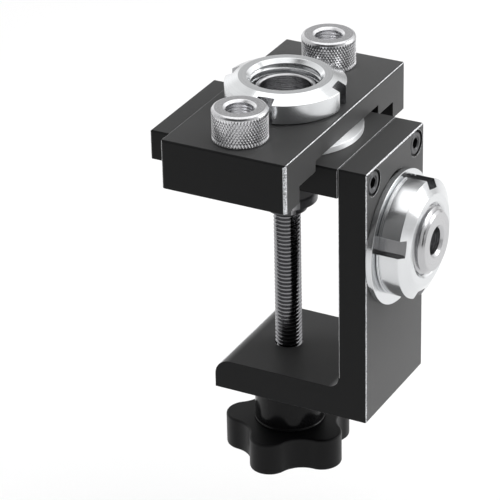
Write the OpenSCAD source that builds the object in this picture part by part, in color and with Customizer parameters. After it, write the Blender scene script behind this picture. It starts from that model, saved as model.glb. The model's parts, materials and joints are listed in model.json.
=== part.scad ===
// Dowelling jig that clamps on a board's edge, for cabinet cam fittings and dowels.
// A slotted rail lies on the board, a leg hangs down the board's edge and a lower arm carries
// the clamp screw, so the three make a C. The drill block slides along the rail. It holds the
// guide for the cam housing between two dowel bushings. A second guide in the leg drills into
// the board's edge for the cam bolt. Each guide is a flanged, threaded sleeve that a slotted
// ring nut pulls tight in its slot.
// X points out from the board's edge, Y along the edge and Z up. The origin is the middle of
// the corner where the rail's underside meets the leg's inner face: z = 0 is the board's face
// and x = 0 is the board's edge.

/* [Rail] */
// Length of the rail on the board, from the leg's inner face
rail_l = 59.5; // [57.5:0.5:75]
// How far the rail stands out past the leg at each side
rail_overhang = 0.3; // [0:0.1:1]
// Thickness of the rail
rail_t = 9; // [8:0.1:9.4]
// Nearest distance of the cam guide's axis from the board's edge
cam_near = 21; // [20:0.1:24]
// Farthest distance of the cam guide's axis from the board's edge
cam_far = 41; // [30:0.1:45]

/* [Leg and lower arm] */
// Width of the leg and the lower arm
leg_w = 38; // [36:0.1:44]
// Thickness of the leg
leg_t = 9; // [8:0.1:11]
// Height of the leg, from the lower arm's underside to the rail's top
leg_h = 80; // [76:1:120]
// Thickness of the lower arm
arm_t = 9.4; // [7:0.1:12]
// Reach of the lower arm under the board, from the leg's inner face
arm_reach = 40.5; // [37:0.5:56]
// Radius of the lower arm's nose
nose_r = 5; // [2:0.5:7]
// Radius of the corner between the leg and the lower arm
corner_r = 3.5; // [1:0.5:6]
// Small chamfer on the outer edges of the milled pieces
edge_chamfer = 0.4; // [0.2:0.1:0.8]

/* [Rail screws] */
// Thread diameter of the two screws that hold the rail to the leg
rail_screw_d = 4; // [3:0.5:4]
// Length of their shank
rail_screw_l = 14; // [11:0.5:14.5]
// Distance of a rail screw's axis from the leg's side
rail_screw_inset = 5; // [4.6:0.1:6]
// Diameter of the screw's head
rail_head_d = 7; // [6:0.1:7.4]
// Height of the screw's head
rail_head_h = 4; // [2.5:0.1:4.1]
// Diameter of the counterbore in the leg
counterbore_d = 8; // [7.8:0.1:8.6]
// Depth of the counterbore in the leg
counterbore_depth = 4.2; // [4.1:0.1:5]
// Size across the flats of the hexagon socket
hex_af = 3; // [2:0.1:4]
// Depth of the hexagon socket
hex_depth = 2; // [1:0.1:2.2]

/* [Drill block] */
// Width of the drill block, along the rail
block_w = 39; // [36:0.5:41]
// Thickness of the block over the washer
roof_t = 6.4; // [5:0.1:9]
// Gap that the channel leaves at each side of the washer or the rail, whichever is wider
channel_gap = 0.3; // [0.2:0.1:2]
// How far the wider relief at the foot of the channel steps out at each side
relief_step = 10; // [4:0.5:14]
// Distance of a bushing's axis from the channel's side
bushing_setoff = 7.5; // [7:0.1:10]
// Distance of a bushing's axis from the block's end
block_end = 10.8; // [9:0.1:16]
// Height of the relief's ceiling over the board
relief_h = 7.6; // [5:0.1:8.5]
// Gap that the block's skirts leave over the board
skirt_gap = 2.3; // [1:0.1:4]
// Radius of the block's upright corners
block_corner_r = 1; // [0.6:0.1:3]

/* [Dowel bushings] */
// Bore of the dowel bushings
bushing_bore_d = 8; // [6:0.5:9]
// Diameter of the knurled head
bushing_head_d = 16; // [13.5:0.1:17]
// Height of the knurled head
bushing_head_h = 9.6; // [7:0.1:14]
// Chamfer on the knurled head's upper edge
bushing_chamfer = 0.9; // [0.4:0.1:1.2]
// Diameter of the bushing's shank
bushing_shank_d = 12; // [11:0.1:13]
// Length of the shank below the head
bushing_shank_l = 14; // [11:0.5:14.5]
// Countersink at both ends of the bushing's bore
bushing_sink = 0.7; // [0.3:0.1:0.9]

/* [Guide sleeves] */
// Outside diameter of both threaded guide sleeves
sleeve_d = 20; // [19:0.1:20.3]
// Bore of the cam guide
cam_bore_d = 15; // [10:0.5:15.5]
// Height of the cam guide's upper end over the board
cam_sleeve_top = 21.8; // [20:0.1:24]
// Bore of the edge guide
edge_bore_d = 8; // [5:0.5:10]
// Distance of the edge guide's outer end from the board's edge
edge_sleeve_out = 22; // [21:0.1:30]
// Diameter of the flange that holds a sleeve in its slot
flange_d = 26; // [25:0.1:26.4]
// Width across the two flats of the flange
flange_flats = 22; // [21:0.1:22.4]
// Thickness of the flange
flange_t = 2.1; // [1.6:0.1:2.2]
// Depth by which the flange lies under the face that meets the board
flange_sunk = 0.3; // [0.1:0.05:0.4]
// Chamfer at the free end of a sleeve
sleeve_chamfer = 1.5; // [0.5:0.1:1.8]
// Chamfer round the cam guide's bore
cam_bore_chamfer = 0.4; // [0.2:0.1:0.6]
// Chamfer round the edge guide's bore
edge_bore_chamfer = 0.8; // [0.4:0.1:1.2]

/* [Ring nuts] */
// Outside diameter of both ring nuts
nut_d = 35; // [34:0.1:36]
// Thickness of the cam guide's nut
nut_t = 8; // [6:0.1:12]
// Diameter of the flat ring on the nut's crown
nut_flat_d = 27; // [25:0.1:30]
// Height of the crown's bevel
crown_h = 2; // [1:0.1:3]
// Diameter of the nut's countersunk mouth
nut_mouth_d = 22.4; // [21.8:0.1:24]
// Number of spanner slots
spanner_slots = 4; // [3:1:6]
// Width of a spanner slot
spanner_slot_w = 5; // [3:0.1:6]
// Depth of a spanner slot
spanner_slot_depth = 2.5; // [1.5:0.1:3.2]
// Thickness of the collar at the foot of the edge guide's nut
collar_t = 1.2; // [0.8:0.1:3]
// Width and depth of the groove over that collar
collar_groove = 0.4; // [0.2:0.1:0.8]
// Turn of the cam guide's nut where it was tightened
cam_nut_turn = 6; // [0:1:90]
// Turn of the edge guide's nut where it was tightened
edge_nut_turn = 76; // [0:1:90]

/* [Washers] */
// Outside diameter of the two washers
washer_d = 39.8; // [37:0.1:41]
// Hole of the two washers
washer_hole_d = 26.4; // [26.3:0.1:27]
// Thickness of the two washers
washer_t = 1.8; // [1.2:0.1:2.2]
// How far the cam guide's washer lies off centre, out over the rail
washer_offset = 2.7; // [0:0.1:3]
// How far the edge guide's washer hangs below that guide's axis
washer_sag = 0.9; // [0:0.1:3]

/* [Edge guide's slot in the leg] */
// Least depth of the edge guide's axis below the board's face
edge_near = 8.2; // [7:0.1:12]
// Greatest depth of the edge guide's axis below the board's face
edge_far = 27.2; // [24:0.1:40]

/* [Clamp] */
// Distance of the clamp screw's axis from the leg's inner face
clamp_setback = 25.7; // [22:0.1:27]
// Diameter of the clamp screw
clamp_screw_d = 8; // [6:0.5:8]
// Gap between the lower arm's underside and the knob's hub
hub_gap = 3.75; // [2:0.25:20]
// Diameter of the pressure pad
pad_d = 18; // [14:0.5:24]
// Thickness of the pressure pad's disc
pad_disc_t = 3; // [2:0.1:5]
// Height of the pad's socket below its disc
pad_socket_h = 3; // [2:0.1:6]
// Diameter of the pad's socket
pad_socket_d = 12; // [10:0.5:13]
// Diameter of the screw's tip inside the pad
tip_d = 5.6; // [4:0.1:6]
// Length of the screw's tip inside the pad
tip_l = 4; // [3:0.1:4.4]
// Chamfer at both ends of the clamp screw's hole in the lower arm
clamp_hole_chamfer = 0.3; // [0.2:0.1:1.2]

/* [Knob] */
// Number of lobes
knob_lobes = 5; // [5:1:5]
// Radius of the knob over its lobes
knob_r = 19.4; // [18:0.1:24]
// Radius of the knob between its lobes
knob_waist_r = 14.4; // [13:0.1:15]
// Radius of a lobe's end
lobe_r = 6; // [5.4:0.1:6.6]
// Thickness of the knob
knob_t = 10.4; // [8:0.1:16]
// Turn of the knob where it stands
knob_turn = 18.4; // [0:0.1:72]
// Diameter of the knob's hub
hub_d = 21.4; // [16:0.1:22]
// Height of the hub over the knob
hub_h = 12.5; // [8:0.1:14]
// Diameter of the hub's spigot inside the knob
spigot_d = 15; // [12:0.1:17]
// Length of the hub's spigot inside the knob
spigot_l = 7; // [4:0.1:8]
// Chamfer on the hub's upper edge
hub_chamfer = 1; // [0.4:0.1:2]
// Floor of the knob under the screw's end
knob_floor = 2; // [1.5:0.1:3]

/* [Where the moving pieces stand] */
// Distance of the cam guide's axis from the board's edge
cam_setback = 25.6; // [24:0.1:40]
// Depth of the edge guide's axis below the board's face
edge_drop = 17.6; // [12.5:0.1:23.5]
// Thickness of the board in the clamp
board_t = 11; // [8:0.5:40]

/* [Hidden] */
$fn = 96;

// Overrun that lets a cut pass the face it opens
over = 1;
// Radial running clearance of a thread or a shaft in its hole
thread_fit = 0.05;
// Radial clearance of a sleeve in its slot and of a screw in a clearance hole
slot_fit = 0.15;
// Clearance round a flange in its recess
recess_fit = 0.2;
// Gap between flat faces that slide on each other
face_gap = 0.05;

// Widths across the board's edge that follow from the leg and the washers
rail_w = leg_w + 2 * rail_overhang;
rail_screw_gap = leg_w - 2 * rail_screw_inset;
channel_w = max(rail_w, washer_d) + 2 * channel_gap;
relief_w = channel_w + 2 * relief_step;
bushing_pitch = channel_w + 2 * bushing_setoff;
block_l = bushing_pitch + 2 * block_end;

// Heights that stack up from the board
leg_bottom = rail_t - leg_h;
arm_top = leg_bottom + arm_t;
washer_top = rail_t + face_gap + washer_t;
block_top = washer_top + roof_t;
cam_x = -cam_setback;
recess_depth = flange_sunk + flange_t + face_gap;

// Places out from the board's edge that stack up on the leg
edge_washer_foot = leg_t + face_gap;
edge_nut_foot = edge_washer_foot + washer_t + face_gap;
edge_nut_t = nut_t + collar_t - collar_groove / 2;

// Heights that hang from the clamped board
pad_top = -board_t;
pad_bottom = pad_top - pad_disc_t - pad_socket_h;
screw_shoulder = pad_bottom - face_gap;
hub_top = leg_bottom - hub_gap;
knob_top = hub_top - hub_h;
knob_bottom = knob_top - knob_t;
screw_end = knob_bottom + knob_floor;

// Round bar that runs out along X
module bar_along_x(length, r) {
    rotate([0, 90, 0]) cylinder(h = length, r = r);
}

// Square bar along Z that bevels an edge at the origin. The solid lies towards -X and -Y.
module bevel_bar(length, size) {
    side = (2 * over + size) * sqrt(2);
    translate([over, over, -over]) rotate([0, 0, 45]) translate([-side / 2, -side / 2, 0])
        cube([side, side, length + 2 * over]);
}

// Bevels on the upright edges of a box that runs from low to high, at the corners [x, y] named
module upright_bevels(low, high, size, corners) {
    for (c = corners) translate([c.x > 0 ? high.x : low.x, c.y > 0 ? high.y : low.y, low.z])
        scale([c.x, c.y, 1]) bevel_bar(high.z - low.z, size);
}

// Bevels on the edges of that box that run along Y, at the corners [x, z] named
module cross_bevels(low, high, size, corners) {
    for (c = corners) translate([c.x > 0 ? high.x : low.x, high.y, c.y > 0 ? high.z : low.z])
        scale([c.x, 1, c.y]) rotate([90, 0, 0]) bevel_bar(high.y - low.y, size);
}

// Bevels on the edges of that box that run along X, at the corners [y, z] named
module long_bevels(low, high, size, corners) {
    for (c = corners) translate([low.x, c.x > 0 ? high.y : low.y, c.y > 0 ? high.z : low.z])
        scale([1, c.x, c.y]) rotate([0, 90, 0]) rotate([0, 0, 90])
            bevel_bar(high.x - low.x, size);
}

// Slot with round ends between two centres on X, through a height from z = 0
module long_hole(x_from, x_to, r, height) {
    for (x = [x_from, x_to]) translate([x, 0, 0]) cylinder(h = height, r = r);
    translate([x_from, -r, 0]) cube([x_to - x_from, 2 * r, height]);
}

// Stepped slot for a guide sleeve: the recess for its flange opens at z = 0
module sleeve_slot(x_from, x_to, depth) {
    flange_r = flange_d / 2 + recess_fit;
    recess_w = flange_flats + 2 * recess_fit;
    translate([0, 0, -over])
        long_hole(x_from, x_to, sleeve_d / 2 + slot_fit, depth + 2 * over);
    intersection() {
        translate([0, 0, -over]) long_hole(x_from, x_to, flange_r, recess_depth + over);
        translate([x_from - flange_r - over, -recess_w / 2, -2 * over])
            cube([x_to - x_from + 2 * (flange_r + over), recess_w, recess_depth + 4 * over]);
    }
}

// Side outline of the leg and the lower arm, with X to the right and Z up
module frame_outline() {
    difference() {
        union() {
            translate([0, leg_bottom]) square([leg_t, leg_h]);
            translate([-arm_reach, leg_bottom]) square([arm_reach + leg_t, arm_t]);
            translate([-corner_r, leg_bottom]) square([corner_r + leg_t, arm_t + corner_r]);
        }
        translate([-corner_r, arm_top + corner_r]) circle(r = corner_r);
        difference() {
            translate([-arm_reach - over, arm_top - nose_r])
                square([nose_r + over, nose_r + over]);
            translate([nose_r - arm_reach, arm_top - nose_r]) circle(r = nose_r);
        }
    }
}

// Leg and lower arm before their holes are cut, with the outer edges bevelled
module frame_blank() {
    low = [0, -leg_w / 2, leg_bottom];
    high = [leg_t, leg_w / 2, rail_t];
    difference() {
        translate([0, leg_w / 2, 0]) rotate([90, 0, 0])
            linear_extrude(height = leg_w) frame_outline();
        long_bevels(low, high, edge_chamfer, [[-1, 1], [1, 1]]);
        cross_bevels(low, high, edge_chamfer, [[1, -1], [1, 1], [-1, 1]]);
        upright_bevels(low, high, edge_chamfer, [[1, -1], [1, 1]]);
        // The leg's inner upright edges stop at the round corner over the arm
        upright_bevels([low.x, low.y, arm_top + corner_r + over], high, edge_chamfer,
            [[-1, -1], [-1, 1]]);
    }
}

// Leg and lower arm, milled from one piece
module clamp_frame() {
    color("#26282b") difference() {
        frame_blank();
        // Upright slot of the edge guide, with the recess for its flange on the board's side
        rotate([0, 90, 0]) sleeve_slot(edge_near, edge_far, leg_t);
        // Counterbored holes of the rail screws
        for (side = [-1, 1]) translate([0, side * rail_screw_gap / 2, rail_t / 2]) {
            translate([-over, 0, 0])
                bar_along_x(leg_t + 2 * over, rail_screw_d / 2 + slot_fit);
            translate([leg_t - counterbore_depth, 0, 0])
                bar_along_x(counterbore_depth + over, counterbore_d / 2);
        }
        // Threaded hole of the clamp screw, chamfered at both ends
        translate([-clamp_setback, 0, leg_bottom]) {
            translate([0, 0, -over])
                cylinder(h = arm_t + 2 * over, r = clamp_screw_d / 2 + thread_fit);
            for (end = [0, 1]) translate([0, 0, end * arm_t]) mirror([0, 0, end])
                hole_chamfer(clamp_screw_d / 2 + thread_fit, clamp_hole_chamfer);
        }
    }
}

// Cone that chamfers a hole's mouth at z = 0, where the hole runs up from it
module hole_chamfer(r, size) {
    translate([0, 0, -over])
        cylinder(h = size + over, r1 = r + size + over, r2 = r);
}

// Slotted rail on the board
module top_rail() {
    low = [-rail_l, -rail_w / 2, 0];
    high = [0, rail_w / 2, rail_t];
    color("#26282b") difference() {
        translate(low) cube(high - low);
        sleeve_slot(-cam_far, -cam_near, rail_t);
        for (side = [-1, 1])
            translate([leg_t - counterbore_depth - rail_screw_l - over, side * rail_screw_gap / 2,
                rail_t / 2]) bar_along_x(rail_screw_l + over, rail_screw_d / 2 + thread_fit);
        long_bevels(low, high, edge_chamfer, [[-1, 1], [1, 1]]);
        cross_bevels(low, high, edge_chamfer, [[-1, -1], [-1, 1]]);
        upright_bevels(low, high, edge_chamfer, [[-1, -1], [-1, 1]]);
    }
}

// Two socket head cap screws through the leg into the rail's end
module rail_screws() {
    seat = leg_t - counterbore_depth;
    color("#1c1d1f") for (side = [-1, 1])
        translate([seat, side * rail_screw_gap / 2, rail_t / 2]) {
            translate([-rail_screw_l, 0, 0]) bar_along_x(rail_screw_l, rail_screw_d / 2);
            difference() {
                bar_along_x(rail_head_h, rail_head_d / 2);
                translate([rail_head_h - hex_depth, 0, 0]) rotate([0, 90, 0])
                    cylinder(h = hex_depth + over, r = hex_af / sqrt(3), $fn = 6);
                translate([rail_head_h, 0, 0]) rotate([0, 90, 0]) head_rim();
            }
        }
}

// Bevel round the rim of a cap screw's head, whose top is at z = 0
module head_rim() {
    size = edge_chamfer;
    rotate_extrude()
        polygon([[rail_head_d / 2 - size, 0], [rail_head_d / 2 + over, 0],
            [rail_head_d / 2 + over, -size - over], [rail_head_d / 2, -size]]);
}

// Block outline with round upright corners
module block_outline() {
    half = [block_w / 2, block_l / 2];
    for (x = [-1, 1], y = [-1, 1])
        translate([x * (half.x - block_corner_r), y * (half.y - block_corner_r)])
            circle(r = block_corner_r);
    square([block_w - 2 * block_corner_r, block_l], center = true);
    square([block_w, block_l - 2 * block_corner_r], center = true);
}

// Sliding block over the rail, with the holes of the cam guide and the bushings
module drill_block() {
    low = [cam_x - block_w / 2, -block_l / 2, skirt_gap];
    high = [cam_x + block_w / 2, block_l / 2, block_top];
    color("#26282b") difference() {
        translate([cam_x, 0, skirt_gap])
            linear_extrude(height = block_top - skirt_gap) block_outline();
        // Channel over the rail and the wider relief at its foot
        translate([low.x - over, -channel_w / 2, skirt_gap - over])
            cube([block_w + 2 * over, channel_w, washer_top + over - skirt_gap]);
        translate([low.x - over, -relief_w / 2, skirt_gap - over])
            cube([block_w + 2 * over, relief_w, relief_h + over - skirt_gap]);
        translate([cam_x, 0, washer_top - over])
            cylinder(h = roof_t + 2 * over, r = sleeve_d / 2 + slot_fit);
        for (side = [-1, 1]) translate([cam_x, side * bushing_pitch / 2, skirt_gap - over])
            cylinder(h = block_top - skirt_gap + 2 * over, r = bushing_shank_d / 2 + thread_fit);
        long_bevels(low, high, edge_chamfer, [[-1, 1], [1, 1]]);
        cross_bevels(low, high, edge_chamfer, [[-1, 1], [1, 1]]);
    }
}

// Threaded guide sleeve that stands on its flange at z = 0
module guide_sleeve(bore_d, length, bore_chamfer) {
    r = sleeve_d / 2;
    difference() {
        union() {
            rotate_extrude() polygon([[0, 0], [r, 0], [r, length - sleeve_chamfer],
                [r - sleeve_chamfer, length], [0, length]]);
            intersection() {
                cylinder(h = flange_t, r = flange_d / 2);
                translate([-flange_d, -flange_flats / 2, -over])
                    cube([2 * flange_d, flange_flats, flange_t + 2 * over]);
            }
        }
        translate([0, 0, -over]) cylinder(h = length + 2 * over, r = bore_d / 2);
        translate([0, 0, length]) mirror([0, 0, 1]) hole_chamfer(bore_d / 2, bore_chamfer);
    }
}

// Crowned ring nut with spanner slots and a countersunk mouth, foot at z = 0. A collar of
// height foot_collar stays below the groove, and no collar means no groove.
module ring_nut(thickness, foot_collar) {
    r = nut_d / 2;
    r_hole = sleeve_d / 2 + thread_fit;
    difference() {
        rotate_extrude() polygon([[r_hole, 0], [r - edge_chamfer, 0], [r, edge_chamfer],
            [r, thickness - crown_h], [nut_flat_d / 2, thickness], [nut_mouth_d / 2, thickness],
            [r_hole, thickness - (nut_mouth_d / 2 - r_hole)]]);
        if (foot_collar > 0) translate([0, 0, foot_collar - collar_groove / 2])
            difference() {
                cylinder(h = collar_groove, r = r + over);
                translate([0, 0, -over])
                    cylinder(h = collar_groove + 2 * over, r = r - collar_groove);
            }
        for (k = [0 : spanner_slots - 1]) rotate([0, 0, k * 360 / spanner_slots])
            translate([r - spanner_slot_depth, -spanner_slot_w / 2, -over])
                cube([spanner_slot_depth + over, spanner_slot_w, thickness + 2 * over]);
    }
}

// Plain washer with a wide hole, lying on z = 0
module washer() {
    difference() {
        cylinder(h = washer_t, r = washer_d / 2);
        translate([0, 0, -over]) cylinder(h = washer_t + 2 * over, r = washer_hole_d / 2);
    }
}

// Guide for the cam housing's drill
module cam_guide_sleeve() {
    color("#c3c5c7") translate([cam_x, 0, flange_sunk])
        guide_sleeve(cam_bore_d, cam_sleeve_top - flange_sunk, cam_bore_chamfer);
}

// Washer between the rail and the block, which lies off centre over its wide hole
module cam_washer() {
    color("#d4d6d8") translate([cam_x + washer_offset, 0, rail_t + face_gap]) washer();
}

// Nut that clamps the block on the rail
module cam_ring_nut() {
    color("#cfd1d3") translate([cam_x, 0, block_top]) rotate([0, 0, cam_nut_turn])
        ring_nut(nut_t, 0);
}

// Guide for the cam bolt's drill, in the leg
module edge_guide_sleeve() {
    color("#c3c5c7") translate([flange_sunk, 0, -edge_drop]) rotate([0, 90, 0])
        guide_sleeve(edge_bore_d, edge_sleeve_out - flange_sunk, edge_bore_chamfer);
}

// Washer between the leg and the edge guide's nut, which hangs on the guide by its wide hole
module edge_washer() {
    color("#d4d6d8") translate([edge_washer_foot, 0, -edge_drop - washer_sag])
        rotate([0, 90, 0]) washer();
}

// Nut that clamps the edge guide in the leg
module edge_ring_nut() {
    color("#cfd1d3") translate([edge_nut_foot, 0, -edge_drop]) rotate([edge_nut_turn, 0, 0])
        rotate([0, 90, 0]) ring_nut(edge_nut_t, collar_t);
}

// Drill bushing that drops into the block, with its head's foot at z = 0
module dowel_bushing() {
    head_r = bushing_head_d / 2;
    shank_r = bushing_shank_d / 2;
    bore_r = bushing_bore_d / 2;
    rotate_extrude() polygon([[bore_r + bushing_sink, -bushing_shank_l],
        [shank_r - bushing_sink, -bushing_shank_l], [shank_r, bushing_sink - bushing_shank_l],
        [shank_r, 0], [head_r - bushing_sink, 0], [head_r, bushing_sink],
        [head_r, bushing_head_h - bushing_chamfer], [head_r - bushing_chamfer, bushing_head_h],
        [bore_r + bushing_sink, bushing_head_h], [bore_r, bushing_head_h - bushing_sink],
        [bore_r, bushing_sink - bushing_shank_l]]);
}

// Bushing nearer to the viewer, on the -Y side of the cam guide
module front_dowel_bushing() {
    color("#b9bbbd") translate([cam_x, -bushing_pitch / 2, block_top]) dowel_bushing();
}

// Bushing on the +Y side of the cam guide
module rear_dowel_bushing() {
    color("#b9bbbd") translate([cam_x, bushing_pitch / 2, block_top]) dowel_bushing();
}

// Pressure pad that swivels on the clamp screw's tip
module pressure_pad() {
    r = pad_d / 2;
    socket_r = pad_socket_d / 2;
    h = pad_disc_t + pad_socket_h;
    color("#2b2c2e") translate([-clamp_setback, 0, pad_bottom]) rotate_extrude()
        polygon([[tip_d / 2 + thread_fit, 0], [socket_r, 0], [socket_r, pad_socket_h],
            [r, pad_socket_h], [r, h - edge_chamfer], [r - edge_chamfer, h], [0, h],
            [0, tip_l + face_gap], [tip_d / 2 + thread_fit, tip_l + face_gap]]);
}

// Clamp screw, from its tip in the pad to its end in the knob
module clamp_screw() {
    r = clamp_screw_d / 2;
    color("#6d6f72") translate([-clamp_setback, 0, 0]) {
        translate([0, 0, screw_end]) cylinder(h = screw_shoulder - screw_end, r = r);
        translate([0, 0, screw_shoulder])
            cylinder(h = tip_l + pad_bottom - screw_shoulder, r = tip_d / 2);
    }
}

// Turned hub that holds the screw and plugs into the knob
module knob_hub() {
    r = hub_d / 2;
    r_hole = clamp_screw_d / 2 + thread_fit;
    color("#1d1e20") translate([-clamp_setback, 0, knob_top]) rotate_extrude()
        polygon([[r_hole, -spigot_l], [spigot_d / 2, -spigot_l], [spigot_d / 2, 0], [r, 0],
            [r, hub_h - hub_chamfer], [r - hub_chamfer, hub_h], [r_hole, hub_h]]);
}

// Star outline of lobes joined by hollow arcs, each tangent to its two lobes
module star_outline() {
    step = 360 / knob_lobes;
    lobe_at = knob_r - lobe_r;
    near = lobe_at * cos(step / 2);
    hollow_r = (lobe_at * lobe_at + knob_waist_r * knob_waist_r - 2 * near * knob_waist_r
        - lobe_r * lobe_r) / (2 * (lobe_r - knob_waist_r + near));
    hollow_at = knob_waist_r + hollow_r;
    difference() {
        union() {
            for (k = [0 : knob_lobes - 1])
                rotate(k * step) translate([lobe_at, 0]) circle(r = lobe_r);
            polygon([for (k = [0 : knob_lobes - 1]) each [
                lobe_at * [cos(k * step), sin(k * step)],
                hollow_at * [cos((k + 1 / 2) * step), sin((k + 1 / 2) * step)]]]);
        }
        for (k = [0 : knob_lobes - 1])
            rotate((k + 1 / 2) * step) translate([hollow_at, 0]) circle(r = hollow_r);
    }
}

// Five-lobed knob with a stepped hole for the hub's spigot and the screw's end
module star_knob() {
    color("#1f2022") translate([-clamp_setback, 0, knob_bottom]) difference() {
        rotate([0, 0, -knob_turn]) linear_extrude(height = knob_t) star_outline();
        translate([0, 0, knob_t - spigot_l - face_gap])
            cylinder(h = spigot_l + face_gap + over, r = spigot_d / 2 + thread_fit);
        translate([0, 0, knob_floor - face_gap])
            cylinder(h = knob_t, r = clamp_screw_d / 2 + thread_fit);
    }
}

clamp_frame();
top_rail();
rail_screws();
drill_block();
cam_guide_sleeve();
cam_washer();
cam_ring_nut();
front_dowel_bushing();
rear_dowel_bushing();
edge_guide_sleeve();
edge_washer();
edge_ring_nut();
pressure_pad();
clamp_screw();
knob_hub();
star_knob();
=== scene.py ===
"""Looks of the dowelling jig: anodised black aluminium, turned steel and a black star knob."""
import contextlib
import json
import math

import bmesh
import bpy
from mathutils import Matrix, Vector


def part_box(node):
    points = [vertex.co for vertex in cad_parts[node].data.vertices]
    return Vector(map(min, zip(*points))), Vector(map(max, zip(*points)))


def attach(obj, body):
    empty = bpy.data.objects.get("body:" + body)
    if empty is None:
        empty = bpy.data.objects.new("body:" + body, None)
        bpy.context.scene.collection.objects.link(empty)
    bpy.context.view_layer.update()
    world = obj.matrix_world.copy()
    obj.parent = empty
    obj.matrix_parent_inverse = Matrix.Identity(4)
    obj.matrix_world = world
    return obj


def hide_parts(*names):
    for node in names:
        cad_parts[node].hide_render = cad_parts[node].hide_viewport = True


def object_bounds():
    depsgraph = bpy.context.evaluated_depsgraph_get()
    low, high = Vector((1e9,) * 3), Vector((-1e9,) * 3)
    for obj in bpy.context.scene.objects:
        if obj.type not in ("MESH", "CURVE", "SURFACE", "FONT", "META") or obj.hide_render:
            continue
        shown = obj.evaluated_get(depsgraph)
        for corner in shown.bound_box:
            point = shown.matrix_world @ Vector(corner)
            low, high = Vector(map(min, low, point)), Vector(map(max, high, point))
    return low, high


MM = 0.001
TURN = 2 * math.pi
UPRIGHT, OUTWARD = Vector((0, 0, 1)), Vector((1, 0, 0))

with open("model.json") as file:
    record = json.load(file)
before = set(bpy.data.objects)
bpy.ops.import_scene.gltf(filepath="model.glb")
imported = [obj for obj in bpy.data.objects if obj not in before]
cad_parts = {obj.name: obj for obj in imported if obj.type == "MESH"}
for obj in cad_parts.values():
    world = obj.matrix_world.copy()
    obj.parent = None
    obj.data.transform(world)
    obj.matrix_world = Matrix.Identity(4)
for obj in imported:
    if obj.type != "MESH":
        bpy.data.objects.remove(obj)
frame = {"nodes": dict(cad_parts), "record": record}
cad_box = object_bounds()


def link(name, data):
    """A new object in the scene that shows a mesh, a lamp or a camera."""
    thing = bpy.data.objects.new(name, data)
    bpy.context.collection.objects.link(thing)
    return thing


def axis_foot(node, axis):
    """Middle of a turned node's foot, in metres."""
    low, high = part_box(node)
    middle = (low + high) / 2
    return Vector((middle.x, middle.y, low.z)) if axis.z else Vector((low.x, middle.y, middle.z))


def height_mm(node, axis):
    """A turned node's height along its axis, in millimetres."""
    low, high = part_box(node)
    return (high - low).dot(axis) / MM


# The photograph's camera: its place in millimetres, its angles in degrees, and its focal length
# and the centre of its view in pixels of a square picture
CAMERA_AT = Vector((315.7, -658.7, 362.4))
YAW, PITCH, ROLL = 27.19, 27.80, -0.74
FOCAL, CENTRE, PICTURE = 2871.9, (296.74, 242.36), 500
SENSOR_MM, NEAREST, FARTHEST = 36, 0.01, 20


def aim_camera():
    """Stands the camera where the photograph was taken from."""
    yaw, pitch, roll = (math.radians(angle) for angle in (YAW, PITCH, ROLL))
    ahead = Vector((-math.sin(yaw), math.cos(yaw), 0))
    right = Vector((math.cos(yaw), math.sin(yaw), 0))
    view = ahead * math.cos(pitch) + Vector((0, 0, -math.sin(pitch)))
    up = right.cross(view)
    side = right * math.cos(roll) + up * math.sin(roll)
    top = -right * math.sin(roll) + up * math.cos(roll)
    camera = link("camera", bpy.data.cameras.new("camera"))
    turn = Matrix((side, top, -view)).transposed().to_4x4()
    camera.matrix_world = Matrix.Translation(CAMERA_AT * MM) @ turn
    lens = camera.data
    lens.sensor_width = SENSOR_MM
    lens.lens = FOCAL / PICTURE * SENSOR_MM
    lens.shift_x = (PICTURE / 2 - CENTRE[0]) / PICTURE
    lens.shift_y = (CENTRE[1] - PICTURE / 2) / PICTURE
    lens.clip_start, lens.clip_end = NEAREST, FARTHEST
    bpy.context.scene.camera = camera


class Term:
    """A number that nodes work out, so that a sum of them reads as a sum in the script."""

    def __init__(self, tree, socket):
        self.tree, self.socket = tree, socket

    def by(self, operation, *others):
        """What a Math node makes of this number and others."""
        node = self.tree.nodes.new("ShaderNodeMath")
        node.operation = operation
        for socket, value in zip(node.inputs, (self, *others)):
            feed(self.tree, socket, value)
        return Term(self.tree, node.outputs[0])

    def __add__(self, other):
        return self.by("ADD", other)

    def __sub__(self, other):
        return self.by("SUBTRACT", other)

    def __mul__(self, other):
        return self.by("MULTIPLY", other)

    def __truediv__(self, other):
        return self.by("DIVIDE", other)

    def within(self, low, high):
        """This number, but never under low or over high."""
        return self.by("MAXIMUM", low).by("MINIMUM", high)


def feed(tree, socket, value):
    """Gives a socket a term, another socket or a plain value."""
    if isinstance(value, Term):
        value = value.socket
    if isinstance(value, bpy.types.NodeSocket):
        tree.links.new(value, socket)
    else:
        socket.default_value = value


def place_node(tree, kind, settings=None, **inputs):
    """A new node with its settings and inputs. A blank in an input's name is written as _."""
    node = tree.nodes.new(kind)
    for name, value in (settings or {}).items():
        setattr(node, name, value)
    for label, value in inputs.items():
        feed(tree, node.inputs[label.replace("_", " ")], value)
    return node


def split_vector(tree, vector):
    """The three numbers of a vector."""
    node = place_node(tree, "ShaderNodeSeparateXYZ", Vector=vector)
    return [Term(tree, socket) for socket in node.outputs]


def join_vector(tree, x, y, z):
    """A vector of three numbers."""
    return place_node(tree, "ShaderNodeCombineXYZ", X=x, Y=y, Z=z).outputs[0]


NOISE_LOW, NOISE_HIGH = 0.25, 0.75


def noise(tree, vector, scale, detail):
    """Noise over a vector, mostly from NOISE_LOW to NOISE_HIGH."""
    node = place_node(tree, "ShaderNodeTexNoise", Vector=vector, Scale=scale, Detail=detail)
    return Term(tree, node.outputs["Fac"])


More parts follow.
